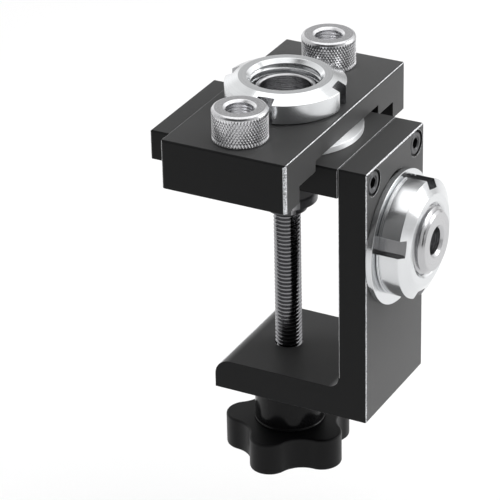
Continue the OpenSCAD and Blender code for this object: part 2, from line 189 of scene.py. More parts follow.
def new_group(name, inputs, outputs):
    """An empty shader group. inputs holds a start value, or None for a vector."""
    group = bpy.data.node_groups.new(name, "ShaderNodeTree")
    for label, value in inputs.items():
        kind = "NodeSocketVector" if value is None else "NodeSocketFloat"
        socket = group.interface.new_socket(label, in_out="INPUT", socket_type=kind)
        if value is not None:
            socket.default_value = value
    for label in outputs:
        group.interface.new_socket(label, in_out="OUTPUT", socket_type="NodeSocketFloat")
    return group, group.nodes.new("NodeGroupInput"), group.nodes.new("NodeGroupOutput")


def grain_group():
    """Fine grain of a blasted or moulded face, on broad soft patches. Grain size is in metres."""
    patches, patch_share = 45.0, 0.6
    group, start, end = new_group("blasted grain", {"Vector": None, "Grain size": 0.0003},
                                  ["Height", "Tone"])
    place = start.outputs["Vector"]
    fine = noise(group, place, Term(group, start.outputs["Grain size"]).by("POWER", -1), 2)
    broad = noise(group, place, patches, 2)
    feed(group, end.inputs["Height"], fine)
    feed(group, end.inputs["Tone"], fine * (1 - patch_share) + broad * patch_share)
    return group


def turning_group():
    """Fine rings that a lathe leaves round the local Z axis, with a soft smear over them. Ring
    spacing is in metres."""
    smears, smear_share = 120.0, 0.15
    group, start, end = new_group("lathe rings", {"Vector": None, "Ring spacing": 0.0002},
                                  ["Height", "Tone"])
    x, y, z = split_vector(group, start.outputs["Vector"])
    spacing = Term(group, start.outputs["Ring spacing"])
    radius = (x * x + y * y).by("SQRT")
    rings = noise(group, join_vector(group, radius / spacing, z / spacing, 0.0), 1.0, 2)
    smear = noise(group, start.outputs["Vector"], smears, 3)
    feed(group, end.inputs["Height"], rings)
    feed(group, end.inputs["Tone"], rings * (1 - smear_share) + smear * smear_share)
    return group


def marked_group():
    """Where the marked faces or points of a mesh show another finish, broken up by a fine
    speckle; on anodised edges that finish is partly painted highlight, and in steel slots and
    grooves partly painted shade. Cover and Speckle say how much of them it covers and how
    unevenly."""
    specks, level = 2600.0, 0.7
    group, start, end = new_group("marked faces", {"Vector": None, "Cover": 1.0, "Speckle": 2.4},
                                  ["Mask"])
    marked = Term(group, place_node(group, "ShaderNodeAttribute",
                                    {"attribute_name": "marked"}).outputs["Fac"])
    cover, speckle = (Term(group, start.outputs[label]) for label in ("Cover", "Speckle"))
    broken = (noise(group, start.outputs["Vector"], specks, 2) - 0.5) * speckle + level
    feed(group, end.inputs["Mask"], (marked * cover * broken).within(0, 1))
    return group


GRAIN, RINGS, MARKED = grain_group(), turning_group(), marked_group()


class Finish:
    """A material under way: its node tree, its shader and object coordinates about a centre."""

    def __init__(self, name, **constants):
        self.material = bpy.data.materials.new(name)
        self.material.use_nodes = True
        self.tree = self.material.node_tree
        self.shader = self.tree.nodes["Principled BSDF"]
        for socket, value in constants.items():
            self.shader.inputs[socket.replace("_", " ")].default_value = value
        self.coordinates = self.tree.nodes.new("ShaderNodeTexCoord").outputs["Object"]

    def about(self, centre, turn):
        """The same coordinates with their origin at centre and their Z along the piece's axis."""
        shift = place_node(self.tree, "ShaderNodeMapping", {"vector_type": "TEXTURE"},
                           Vector=self.coordinates, Location=centre, Rotation=turn)
        self.coordinates = shift.outputs[0]
        return self

    def group(self, group, **values):
        """A shared effect in this material, with its own values."""
        node = place_node(self.tree, "ShaderNodeGroup", {"node_tree": group})
        values["Vector"] = self.coordinates
        for label, value in values.items():
            feed(self.tree, node.inputs[label.replace("_", " ")], value)
        return node

    def roughness(self, tone, low, high):
        """Feeds Roughness with a tone of noise stretched from low to high."""
        span = place_node(self.tree, "ShaderNodeMapRange", Value=tone, From_Min=NOISE_LOW,
                          From_Max=NOISE_HIGH, To_Min=low, To_Max=high)
        feed(self.tree, self.shader.inputs["Roughness"], span.outputs[0])

    def shades(self, factor, dark, light):
        """A colour between two, which feeds Base Color. Either may be another such colour."""
        mix = place_node(self.tree, "ShaderNodeMix", {"data_type": "RGBA"}, Factor=factor)
        for label, colour in (("A", dark), ("B", light)):
            value = (*colour, 1) if isinstance(colour, tuple) else colour
            feed(self.tree, mix.inputs[label], value)
        feed(self.tree, self.shader.inputs["Base Color"], mix.outputs["Result"])
        return mix.outputs["Result"]

    def relief(self, height, depth, strength):
        """A bump of that depth in metres, which feeds Normal."""
        bump = place_node(self.tree, "ShaderNodeBump", Height=height, Distance=depth,
                          Strength=strength)
        feed(self.tree, self.shader.inputs["Normal"], bump.outputs[0])

    def round_axis(self, centre, axis):
        """Runs the shader's tangent round an axis, as a lathe's marks run."""
        point = self.tree.nodes["Texture Coordinate"].outputs["Object"]
        arm = place_node(self.tree, "ShaderNodeVectorMath", {"operation": "SUBTRACT"})
        feed(self.tree, arm.inputs[0], point)
        arm.inputs[1].default_value = centre
        round_it = place_node(self.tree, "ShaderNodeVectorMath", {"operation": "CROSS_PRODUCT"})
        round_it.inputs[0].default_value = axis
        feed(self.tree, round_it.inputs[1], arm.outputs[0])
        even = place_node(self.tree, "ShaderNodeVectorMath", {"operation": "NORMALIZE"})
        feed(self.tree, even.inputs[0], round_it.outputs[0])
        world = place_node(self.tree, "ShaderNodeVectorTransform",
                           {"vector_type": "VECTOR", "convert_from": "OBJECT",
                            "convert_to": "WORLD"}, Vector=even.outputs[0])
        feed(self.tree, self.shader.inputs["Tangent"], world.outputs[0])


# Unanodised metal on anodised edges that catch the light is partly a painted highlight; the
# duller steel in slots and knurl grooves is partly painted shade
BARE_METAL_HIGHLIGHT, DULL_STEEL_AND_SHADE = (0.76, 0.77, 0.79), (0.42, 0.42, 0.43)
DYE_DARK, DYE_LIGHT = (0.0028, 0.0029, 0.0032), (0.0062, 0.0064, 0.007)


def anodised(name):
    """Blasted, black anodised aluminium, unanodised along the milled edges that catch the light:
    partly real wear, partly painted highlight.
    """
    finish = Finish(name, Specular_IOR_Level=0.11, Sheen_Weight=0.85, Sheen_Roughness=0.35)
    grain = finish.group(GRAIN, Grain_size=0.00022)
    bare_and_highlight = finish.group(MARKED, Cover=1.0, Speckle=2.4)
    finish.roughness(grain.outputs["Tone"], 0.36, 0.48)
    dye = finish.shades(grain.outputs["Tone"], DYE_DARK, DYE_LIGHT)
    # The marked edges turn to bright unanodised metal: a painted highlight, partly real wear
    finish.shades(bare_and_highlight.outputs["Mask"], dye, BARE_METAL_HIGHLIGHT)
    feed(finish.tree, finish.shader.inputs["Metallic"], bare_and_highlight.outputs["Mask"])
    finish.relief(grain.outputs["Height"], depth=0.00004, strength=0.6)
    return finish.material


def turned_steel(name, node, axis, dark, light, roughness, spacing, depth, streak):
    """Steel with lathe rings about a node's axis, darker where it is marked: a duller finish,
    which in the nuts' slots and the knurl's grooves is also painted shade. Streak says how far
    its gloss spreads across the rings, and their spacing and depth are in metres."""
    centre = axis_foot(node, axis)
    turn = (0, 0, 0) if axis.z else (0, math.radians(90), 0)
    finish = Finish(name, Metallic=1.0, Anisotropic=streak, Anisotropic_Rotation=0.25)
    finish.about(centre, turn).round_axis(centre, axis)
    rings = finish.group(RINGS, Ring_spacing=spacing)
    finish.roughness(rings.outputs["Tone"], *roughness)
    turned = finish.shades(rings.outputs["Tone"], dark, light)
    # Marked slots and knurl grooves darken: a duller finish and painted shade together
    dull_and_shade = finish.group(MARKED, Cover=1.4, Speckle=0.6)
    finish.shades(dull_and_shade.outputs["Mask"], turned, DULL_STEEL_AND_SHADE)
    finish.relief(rings.outputs["Height"], depth, strength=0.5)
    return finish.material


def polished(name, node, axis):
    """Bright steel of the ring nuts and the edge washer."""
    return turned_steel(name, node, axis, (0.56, 0.57, 0.58), (0.74, 0.75, 0.76),
                        roughness=(0.14, 0.24), spacing=0.00014, depth=0.000005, streak=0.7)


def satin(name, node, axis, dark, light, streak):
    """Softer steel of the sleeves and the bushings, a little blue."""
    blue = 1.02
    return turned_steel(name, node, axis, (dark, dark, dark * blue),
                        (light, light, light * blue), roughness=(0.2, 0.3), spacing=0.00018,
                        depth=0.00001, streak=streak)


def moulded(name, dark, light, roughness, grain_size, depth):
    """Black plastic with a moulded grain, whose size and depth are in metres."""
    finish = Finish(name, Specular_IOR_Level=0.14)
    grain = finish.group(GRAIN, Grain_size=grain_size)
    finish.roughness(grain.outputs["Tone"], *roughness)
    finish.shades(grain.outputs["Tone"], dark, light)
    finish.relief(grain.outputs["Height"], depth, strength=0.4)
    return finish.material


# In millimetres: points this close are one, and a cutter stands out this far past its cut
MERGE, OVER = 0.0005, 1.0


class Growth:
    """A geometry tree under way, in millimetres. Its sizes are named inputs."""

    def __init__(self, name, **sizes):
        self.tree = bpy.data.node_groups.new(name, "GeometryNodeTree")
        face = self.tree.interface
        face.new_socket("Geometry", in_out="OUTPUT", socket_type="NodeSocketGeometry")
        face.new_socket("Geometry", in_out="INPUT", socket_type="NodeSocketGeometry")
        face.new_socket("Material", in_out="INPUT", socket_type="NodeSocketMaterial")
        for label, value in sizes.items():
            kind = "NodeSocketInt" if isinstance(value, int) else "NodeSocketFloat"
            socket = face.new_socket(label.replace("_", " "), in_out="INPUT", socket_type=kind)
            socket.default_value = value
        self.start = self.tree.nodes.new("NodeGroupInput")

    def size(self, *labels):
        """Several named sizes, as terms."""
        return [Term(self.tree, self.start.outputs[label]) for label in labels]

    def node(self, kind, settings=None, **inputs):
        """A new node in this tree."""
        return place_node(self.tree, kind, settings, **inputs)

    def grid(self, across, along):
        """A grid of across by along steps, with its share of each at every point. A count of
        points drops its fraction, so a half keeps a sum that falls just short."""
        grid = self.node("GeometryNodeMeshGrid", Size_X=1.0, Size_Y=1.0,
                         Vertices_X=across + 1.5, Vertices_Y=along + 1.5)
        place = self.node("GeometryNodeInputPosition").outputs[0]
        x, y, _ = split_vector(self.tree, place)
        return grid.outputs["Mesh"], x + 0.5, y + 0.5

    def polar(self, geometry, radius, angle, height):
        """Moves every point to a radius, an angle in turns of a circle and a height."""
        swing = angle * TURN
        place = join_vector(self.tree, radius * swing.by("COSINE"), radius * swing.by("SINE"),
                            height)
        moved = self.node("GeometryNodeSetPosition", Geometry=geometry, Position=place)
        merged = self.node("GeometryNodeMergeByDistance", Geometry=moved.outputs[0],
                           Distance=MERGE)
        return merged.outputs[0]

    def finished(self, geometry):
        """Ends the tree in real, painted faces."""
        real = self.node("GeometryNodeRealizeInstances", Geometry=geometry)
        painted = self.node("GeometryNodeSetMaterial", Geometry=real.outputs[0],
                            Material=self.start.outputs["Material"])
        end = self.tree.nodes.new("NodeGroupOutput")
        self.tree.links.new(painted.outputs[0], end.inputs[0])
        return self.tree


def thread_tree():
    """A tube with a right-hand thread. Depth is how far the crests stand out from the radius, or
    how far the groove sinks below it where it is negative. Lines are the points in one pitch,
    and Taper is the size of the 45 degree chamfer at the high end. The thread fades out over
    one pitch at its ends, but runs on into a taper."""
    crest_at, crest_half, flank, run_on = 7 / 12, 1 / 12, 3, 4
    g = Growth("thread", Radius=4.0, Low=0.0, High=10.0, Pitch=1.25, Depth=0.7, Taper=0.0,
               Lines=6, Segments=64)
    radius, low, high, pitch, depth, taper, lines, segments = g.size(
        "Radius", "Low", "High", "Pitch", "Depth", "Taper", "Lines", "Segments")
    rows = (((high - low) / pitch).by("CEIL") + 1) * lines
    grid, share, along = g.grid(segments, rows)
    turns = (along * rows).by("ROUND") / lines
    height = (low + (turns + share - 1) * pitch).within(low, high)
    off_crest = (turns.by("FRACT") - crest_at).by("ABSOLUTE")
    crest = (off_crest * -flank + (1 + flank * crest_half)).within(0, 1)
    fade = ((height - low) / pitch).by("MINIMUM", (high - height + taper * run_on) / pitch)
    cone = radius - (height - high + taper).by("MAXIMUM", 0) + depth.by("MAXIMUM", 0)
    wall = (radius + depth * crest * fade.within(0, 1)).by("MINIMUM", cone)
    return g.finished(g.polar(grid, wall, share, height))


def knurl_tree():
    """A tube with a diamond knurl: the points of a grid stand out by turns, and every face is
    split along its groove. Around is how many diamonds go round it, and Steepness is how many
    times as tall as wide each of them is."""
    g = Growth("diamond knurl", Radius=8.0, Low=0.0, High=8.0, Depth=0.25, Around=55,
               Steepness=math.sqrt(3))
    radius, low, high, depth, around, steepness = g.size(
        "Radius", "Low", "High", "Depth", "Around", "Steepness")
    columns = around * 2
    rows = ((high - low) * columns / (radius * TURN * steepness)).by("ROUND")
    grid, share, along = g.grid(columns, rows)
    row, column = (along * rows).by("ROUND"), (share * columns).by("ROUND")
    sunk = (row + column + 1).by("MODULO", 2) * row.by("MINIMUM", rows - row).within(0, 1)
    tube = g.polar(grid, radius - depth * sunk, share, low + (high - low) * along)
    split = g.node("GeometryNodeTriangulate", {"quad_method": "SHORTEST_DIAGONAL"}, Mesh=tube)
    return g.finished(split.outputs[0])


def carve(g, piece, tool):
    """Takes a tool's shape away from a piece in a geometry tree."""
    real = g.node("GeometryNodeRealizeInstances", Geometry=tool)
    cut = g.node("GeometryNodeMeshBoolean", {"operation": "DIFFERENCE", "solver": "EXACT"})
    g.tree.links.new(piece, cut.inputs["Mesh 1"])
    g.tree.links.new(real.outputs[0], cut.inputs["Mesh 2"])
    return cut.outputs["Mesh"]


def slot_tree():
    """Cuts upright slots into a turned piece's rim, evenly spaced from First angle."""
    g = Growth("spanner slots", Count=4, Width=5.0, Floor_radius=15.0, Reach=4.0, Height=8.0,
               First_angle=0.0)
    count, width, floor, reach, height, first = g.size(
        "Count", "Width", "Floor radius", "Reach", "Height", "First angle")
    tool = g.node("GeometryNodeMeshCube",
                  Size=join_vector(g.tree, reach, width, height + 2 * OVER))
    out = g.node("GeometryNodeTransform", Geometry=tool.outputs[0],
                 Translation=join_vector(g.tree, floor + reach / 2, 0.0, height / 2))
    points = g.node("GeometryNodePoints", Count=count)
    index = Term(g.tree, g.node("GeometryNodeInputIndex").outputs[0])
    swing = join_vector(g.tree, 0.0, 0.0, first + index / count * TURN)
    ring = g.node("GeometryNodeInstanceOnPoints", Points=points.outputs[0],
                  Instance=out.outputs[0],
                  Rotation=g.node("FunctionNodeEulerToRotation", Euler=swing).outputs[0])
    return g.finished(carve(g, g.start.outputs["Geometry"], ring.outputs[0]))


def screw_tree():
    """Cuts a hexagon socket into a turned screw blank and sets screws out in a row along X."""
    g = Growth("cap screws", Count=2, Spacing=28.0, Socket=3.0, Socket_floor=16.0)
    count, spacing, socket, floor = g.size("Count", "Spacing", "Socket", "Socket floor")
    reach = 4.0
    prism = g.node("GeometryNodeMeshCylinder", Vertices=6, Radius=socket / math.sqrt(3),
                   Depth=reach)
    tool = g.node("GeometryNodeTransform", Geometry=prism.outputs["Mesh"],
                  Translation=join_vector(g.tree, 0.0, 0.0, floor + reach / 2))
    one = carve(g, g.start.outputs["Geometry"], tool.outputs[0])
    index = Term(g.tree, g.node("GeometryNodeInputIndex").outputs[0])
    along = (index - (count - 1) / 2) * spacing
    points = g.node("GeometryNodePoints", Count=count,
                    Position=join_vector(g.tree, along, 0.0, 0.0))
    row = g.node("GeometryNodeInstanceOnPoints", Points=points.outputs[0], Instance=one)
    return g.finished(row.outputs[0])


def star_tree():
    """Pulls the rim of a turned blank into round lobes with round hollows between them. The
    blank's rim radius is Tip radius, and points inside Core radius stay. Half is the angle from
    a lobe's middle to the next hollow's, and swing is a point's own angle from the lobe's
    middle. The wall is the lobe's arc up to the angle where both arcs meet, and the hollow's
    arc past it."""
    g = Growth("star knob", Lobes=5, Tip_radius=19.4, Waist_radius=14.4, Lobe_radius=6.0,
               Core_radius=12.0, First_angle=0.0)
    lobes, tip, waist, lobe, core, first = g.size(
        "Lobes", "Tip radius", "Waist radius", "Lobe radius", "Core radius", "First angle")
    x, y, z = split_vector(g.tree, g.node("GeometryNodeInputPosition").outputs[0])
    blank_r = (x * x + y * y).by("SQRT")
    angle = y.by("ARCTAN2", x)
    half = (lobes * 2).by("POWER", -1) * TURN
    share = (angle - first) / (half * 2)
    swing = (share - share.by("ROUND")).by("ABSOLUTE") * (half * 2)
    inset = tip - blank_r
    lobe_at = tip - lobe
    near = lobe_at * half.by("COSINE")
    hollow = ((lobe_at * lobe_at + waist * waist - near * waist * 2 - lobe * lobe)
              / ((lobe - waist + near) * 2))
    hollow_at = waist + hollow
    reach_x = hollow_at * half.by("COSINE") - lobe_at
    reach_y = hollow_at * half.by("SINE")
    reach = lobe + hollow
    arc = lobe - inset
    meet = (reach_y / reach * arc).by("ARCTAN2", lobe_at + reach_x / reach * arc)
    across = lobe_at * swing.by("SINE")
    on_lobe = lobe_at * swing.by("COSINE") + (arc * arc - across * across).by(
        "MAXIMUM", 0).by("SQRT")
    rest = half - swing
    aside = hollow_at * rest.by("SINE")
    bowl = hollow + inset
    on_hollow = hollow_at * rest.by("COSINE") - (bowl * bowl - aside * aside).by(
        "MAXIMUM", 0).by("SQRT")
    past = swing.by("GREATER_THAN", meet)
    wall = on_lobe + (on_hollow - on_lobe) * past
    place = join_vector(g.tree, wall * angle.by("COSINE"), wall * angle.by("SINE"), z)
    moved = g.node("GeometryNodeSetPosition", Geometry=g.start.outputs["Geometry"],
                   Selection=blank_r.by("GREATER_THAN", core), Position=place)
    return g.finished(moved.outputs[0])


THREAD, KNURL, SLOTS, SCREWS, STAR = (
    thread_tree(), knurl_tree(), slot_tree(), screw_tree(), star_tree())


def grow(tree, material, blank=None, **sizes):
    """The plain mesh that a geometry tree makes, from a blank where it works on one."""
    thing = link("blank", blank or bpy.data.meshes.new("blank"))
    rule = thing.modifiers.new("rule", "NODES")
    rule.node_group = tree
    sizes["Material"] = material
    for socket in tree.interface.items_tree:
        label = socket.name.replace(" ", "_")
        if socket.in_out == "INPUT" and label in sizes:
            exact = float if socket.socket_type == "NodeSocketFloat" else lambda value: value
            rule[socket.identifier] = exact(sizes.pop(label))
    if sizes:
        raise ValueError(f"{tree.name} has no input for {sorted(sizes)}")
    bpy.context.view_layer.update()
    done = bpy.data.meshes.new_from_object(
        thing.evaluated_get(bpy.context.evaluated_depsgraph_get()))
    thing.modifiers.remove(rule)
    bpy.data.objects.remove(thing)
    return done


def put(mesh, foot, axis):
    """Places a mesh made in millimetres about the origin, with its foot there and its Z along
    the axis. Along X, its own X lies along Y."""
    turn = Matrix.Identity(3) if axis.z else Matrix(((0, 0, 1), (1, 0, 0), (0, 1, 0)))
    mesh.transform(Matrix.Translation(foot) @ turn.to_4x4() @ Matrix.Scale(MM, 4))
    mesh.update()
    return mesh


@contextlib.contextmanager
def edited(mesh):
    """A mesh's points, edges and faces to work on, which are written back at the end."""
    bm = bmesh.new()
    bm.from_mesh(mesh)
    yield bm
    bm.to_mesh(mesh)
    bm.free()


def merge(bm, reach):
    """Makes one point of those that lie within reach, so that no empty face is left."""
    bmesh.ops.remove_doubles(bm, verts=bm.verts, dist=reach)
    bmesh.ops.dissolve_degenerate(bm, edges=bm.edges, dist=reach)


def skin(bm, ring, other):
    """Faces between two rings of points, one of which may be a pole."""
    ring, other = sorted((ring, other), key=len, reverse=True)
    for k, point in enumerate(ring):
        on = (k + 1) % len(ring)
        across = other if len(other) == 1 else (other[on], other[k])
        bm.faces.new((point, ring[on], *across))


def turned_mesh(name, profile, segments):
    """A closed solid turned about Z. The profile holds (radius, height) points, and the plain
    mesh of a tube that stands between two of them."""
    bm = bmesh.new()
    first = last = None
    for step in profile:
        if isinstance(step, bpy.types.Mesh):
            bm.from_mesh(step)
            last = None
            continue
        radius, height = step
        count = segments if radius else 1
        ring = [bm.verts.new((radius * math.cos(TURN * k / count),
                              radius * math.sin(TURN * k / count), height))
                for k in range(count)]
        if last:
            skin(bm, last, ring)
        first, last = first or ring, ring
    if last and len(first) > 1 and len(last) > 1:
        skin(bm, last, first)
    merge(bm, MERGE)
    bmesh.ops.recalc_face_normals(bm, faces=bm.faces)
    mesh = bpy.data.meshes.new(name)
    bm.to_mesh(mesh)
    bm.free()
    return mesh


SHARP = "sharp"


def eased(profile, radius=0.12, steps=3):
    """A turned profile with its corners eased, apart from those marked as sharp. An easing takes
    no more than nearly half of a short side."""
    nearly_half = 0.45
    corners = [step for step in profile if isinstance(step, tuple)]
    rows, at = [], -1
    for step in profile:
        if not isinstance(step, tuple):
            rows.append(step)
            continue
        at += 1
        if len(step) > 2:
            rows.append(step[:2])
            continue
        here = Vector(step)
        back = Vector(corners[at - 1][:2]) - here
        on = Vector(corners[(at + 1) % len(corners)][:2]) - here
        reach = min(radius, back.length * nearly_half, on.length * nearly_half)
        first, last = here + back.normalized() * reach, here + on.normalized() * reach
        for s in range(steps + 1):
            t = s / steps
            rows.append(tuple(first * (1 - t) ** 2 + here * 2 * t * (1 - t) + last * t * t))
    return rows


def smooth(mesh, angle=40):
    """Shades smooth, with sharp edges over an angle in degrees."""
    mesh.shade_smooth()
    mesh.set_sharp_from_angle(angle=math.radians(angle))
    return mesh


def finish_piece(name, mesh, material, body, reach=0.002 * MM):
    """Hangs a finished mesh on its body, in place of the CAD node of its name. Points within
    reach of each other are merged first."""
    with edited(mesh) as bm:
        merge(bm, reach)
    mesh.name = name
    thing = link(f"finished_{name}", mesh)
    mesh.materials.clear()
    mesh.materials.append(material)
    level = thing.modifiers.new("even shading", "WEIGHTED_NORMAL")
    level.keep_sharp, level.weight = True, 80
    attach(thing, body)
    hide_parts(name)


def mark(parts, share):
    """Marks each face or point with its share of the second finish of its material, which on
    anodised edges is partly painted highlight and in steel slots and grooves partly painted
    shade.
    """
    marked = parts.layers.float.new("marked")
    for part in parts:
        part[marked] = share(part) or 0


def sharp_edges(bm, angle):
    """The edges between two faces that turn by more than an angle in degrees."""
    corner = math.radians(angle)
    return [e for e in bm.edges if e.is_manifold and e.calc_face_angle(0) > corner]


def bevel(bm, edges, width):
    """Rounds edges off in two steps."""
    bmesh.ops.bevel(bm, geom=edges, offset=width, segments=2, profile=0.5, affect="EDGES",
                    clamp_overlap=True)


def is_lit_bevel(face):
    """True on the narrow flat bevels along Y and on the upright ones, which catch the light: they
    are painted as unanodised metal, a painted highlight that is partly real wear.
    """
    slanted, square = 0.6, 0.02
    x, y, z = (abs(c) for c in face.normal)
    return x > slanted and min(y, z) < square and max(y, z) > slanted


def lit_corner_at_front(face):
    """The drill block's upright rounded corner that faces the light, painted as unanodised metal:
    a painted highlight, partly real wear.
    """
    square, turned, near_y = 0.02, 0.1, -0.035
    n = face.normal
    return (abs(n.z) < square and n.x > turned and n.y < -turned
            and face.calc_center_median().y < near_y)


def screw_rims(face):
    """The rims of the two counterbores in the leg, whose places are in millimetres."""
    screw_y, screw_z, leg_face, inside, outside, flat = 14, 4.5, 8.86, 3.7, 4.35, 0.99
    c = face.calc_center_median() / MM
    off = math.hypot(abs(c.y) - screw_y, c.z - screw_z)
    return c.x > leg_face and inside < off < outside and abs(face.normal.x) < flat


def lit_rail_end(face):
    """The eased edges round the rail's end against the leg, painted as unanodised metal: a
    painted highlight along the joint, partly real wear.
    """
    end, top, side, flat = -0.2, 8.8, -19.1, 0.98
    c = face.calc_center_median() / MM
    return c.x > end and abs(face.normal.x) < flat and (c.z > top or c.y < side)


def milled_piece(name, material, body, ease=0.17, is_bare_highlight=None):
    """A copy of a CAD node with its edges eased, and its lit bevels and its other chosen faces
    marked as unanodised metal: partly real wear, partly painted highlight. The ease is in
    millimetres."""
    same_point, flat = 1e-7, math.radians(0.5)
    bm = bmesh.new()
    bm.from_mesh(frame["nodes"][name].data)
    bmesh.ops.remove_doubles(bm, verts=bm.verts, dist=same_point)
    bmesh.ops.dissolve_limit(bm, angle_limit=flat, verts=bm.verts, edges=bm.edges)
    bevel(bm, sharp_edges(bm, angle=30), ease * MM)
    mark(bm.faces, lambda face: is_lit_bevel(face) or is_bare_highlight and is_bare_highlight(face))
    mesh = bpy.data.meshes.new(name)
    bm.to_mesh(mesh)
    bm.free()
    finish_piece(name, smooth(mesh), material, body)


# In millimetres: the ring nuts, their spanner slots, and the thread that they share with the
# guide sleeves
NUT_R, FLAT_R, MOUTH_R, NUT_BORE_R = 17.5, 13.5, 11.2, 10.05
SLOT_COUNT, SLOT_W, SLOT_FLOOR_R = 4, 5.0, 15.0
GUIDE_PITCH, GUIDE_DEPTH = 1.5, 0.85


def ease_slots(mesh, first_slot, width=0.15):
    """Bevels the edges of a nut's spanner slots and marks the milled faces in them, which turns
    them darker: a duller milled finish with painted shade in the slots.
    """
    floor, side = SLOT_FLOOR_R - 0.05, SLOT_W / 2 + 0.02
    turns = [Matrix.Rotation(-math.radians(first_slot + 360 / SLOT_COUNT * k), 3, "Z")
             for k in range(SLOT_COUNT)]

    def in_slot(part):
        return any(all(p.x > floor and abs(p.y) < side
                       for p in (turn @ v.co for v in part.verts)) for turn in turns)

    with edited(mesh) as bm:
        bmesh.ops.remove_doubles(bm, verts=bm.verts, dist=MERGE)
        bevel(bm, [e for e in sharp_edges(bm, angle=25) if in_slot(e)], width)
        # The slots' faces are marked darker: painted shade, partly a real milled finish
        mark(bm.faces, in_slot)


def ring_nut(name, axis, first_slot, material, body, collar=0.0):
    """Slotted ring nut with its thread, cut to the CAD nut's height. The first slot is at an
    angle in degrees. A collar is a groove round the nut at that height."""
    top, crown, foot_ease, groove = height_mm(name, axis), 2.0, 0.4, 0.4
    mouth_end = top - (MOUTH_R - NUT_BORE_R)
    profile = [(NUT_R - foot_ease, 0.0), (NUT_R, foot_ease)]
    if collar:
        low, high, groove_r = collar - groove / 2, collar + groove / 2, NUT_R - groove
        profile += [(NUT_R, low), (groove_r, low), (groove_r, high), (NUT_R, high)]
    thread = grow(THREAD, material, Radius=NUT_BORE_R, Low=0, High=mouth_end,
                  Pitch=GUIDE_PITCH, Depth=GUIDE_DEPTH, Segments=144)
    profile += [(NUT_R, top - crown), (FLAT_R, top), (MOUTH_R, top),
                (NUT_BORE_R, mouth_end, SHARP), thread, (NUT_BORE_R, 0.0, SHARP)]
    blank = turned_mesh(name, eased(profile), 144)
    mesh = grow(SLOTS, material, blank, Count=SLOT_COUNT, Width=SLOT_W,
                Floor_radius=SLOT_FLOOR_R, Reach=NUT_R + 2 * OVER - SLOT_FLOOR_R, Height=top,
                First_angle=math.radians(first_slot))
    ease_slots(mesh, first_slot)
    put(mesh, axis_foot(name, axis), axis)
    finish_piece(name, smooth(mesh), material, body)


def guide_sleeve(name, axis, bore_r, bore_chamfer, material, body):
    """Flanged sleeve with an outside thread and turned rings in its bore. The flange's flats lie
    along X on an upright sleeve, and upright on the other."""
    length, thread_from, first_flat = height_mm(name, axis), 9.0, TURN / 4 if axis.z else 0.0
    r, flange_r, flange_t, chamfer, flat_half = 10.0, 13.0, 2.1, 1.5, 11.0
    bore_top = length - bore_chamfer
    bore = grow(THREAD, material, Radius=bore_r, Low=0, High=bore_top, Pitch=0.6, Depth=0.05,
                Lines=4, Segments=120)
    thread = grow(THREAD, material, Radius=r, Low=thread_from, High=length,
                  Pitch=GUIDE_PITCH, Depth=-GUIDE_DEPTH, Taper=chamfer, Lines=8, Segments=120)
    profile = [(bore_r, 0.0, SHARP), (flange_r, 0.0), (flange_r, flange_t), (r, flange_t, SHARP),
               (r, thread_from, SHARP), thread, (r - chamfer, length, SHARP),
               (bore_r + bore_chamfer, length), (bore_r, bore_top, SHARP), bore]
    blank = turned_mesh(name, eased(profile, 0.15), 120)
    mesh = grow(SLOTS, material, blank, Count=2, Width=4 * flange_r, Floor_radius=flat_half,
                Reach=flange_r, Height=flange_t - OVER, First_angle=first_flat)
    put(mesh, axis_foot(name, axis), axis)
    finish_piece(name, smooth(mesh), material, body)


def washer(name, axis, material, body):
    """Washer with a wide hole and eased edges."""
    t, hole_r, r = height_mm(name, axis), 13.2, 19.9
    profile = [(hole_r, 0.0), (r, 0.0), (r, t), (hole_r, t)]
    mesh = put(turned_mesh(name, eased(profile, 0.18), 144), axis_foot(name, axis), axis)
    finish_piece(name, smooth(mesh), material, body)


def dowel_bushing(name, material, body):
    """Knurled drill bushing with a turned shank and bore. Its top and the rims of its top are
    duller than the rest, and the knurl's grooves are darker: painted shade in the grooves."""
    top = height_mm(name, UPRIGHT)
    head_h, head_r, shank_r, bore_r, sink, chamfer = 9.6, 8.0, 6.0, 4.0, 0.7, 0.9
    diamonds, undercut, foot_ease, brow_w, brow_h = 55, 0.3, 0.3, 0.3, 0.35
    shank = top - head_h
    knurl_low, knurl_high = shank + foot_ease, top - chamfer
    knurl = grow(KNURL, material, Radius=head_r, Low=knurl_low, High=knurl_high, Depth=0.25,
                 Around=diamonds)
    bore = grow(THREAD, material, Radius=bore_r, Low=sink, High=top - sink, Pitch=0.9,
                Depth=0.12, Lines=4, Segments=2 * diamonds)
    profile = [(bore_r + sink, 0.0), (shank_r - sink, 0.0), (shank_r, sink),
               (shank_r, shank - undercut - 0.1), (shank_r - undercut, shank - undercut),
               (shank_r - undercut, shank, SHARP), (head_r - foot_ease, shank),
               (head_r, knurl_low, SHARP), knurl, (head_r, knurl_high, SHARP),
               (head_r - brow_w, top - brow_h), (head_r - chamfer, top),
               (bore_r + sink, top), (bore_r, top - sink, SHARP), bore, (bore_r, sink, SHARP)]
    mesh = turned_mesh(name, eased(profile, 0.14), 2 * diamonds)

    def dullness_and_shade(point):
        """The share of the duller finish at a point; in the knurl's grooves it is painted shade.
        """
        radius, down = point.co.xy.length, top - point.co.z
        on_top, on_rim = down < 0.02, down < chamfer + 0.05
        # The knurl's sunk points get the darker finish: painted shade in its grooves
        in_shaded_groove = point.co.z > knurl_low and shank_r + 1 < radius < head_r - 0.1
        if on_top:
            return 0.85
        if on_rim:
            return 0.8 if radius > shank_r else 0.5
        return 0.5 if in_shaded_groove else 0

    with edited(mesh) as bm:
        mark(bm.verts, dullness_and_shade)
    put(mesh, axis_foot(name, UPRIGHT), UPRIGHT)
    finish_piece(name, smooth(mesh, 22), material, body)


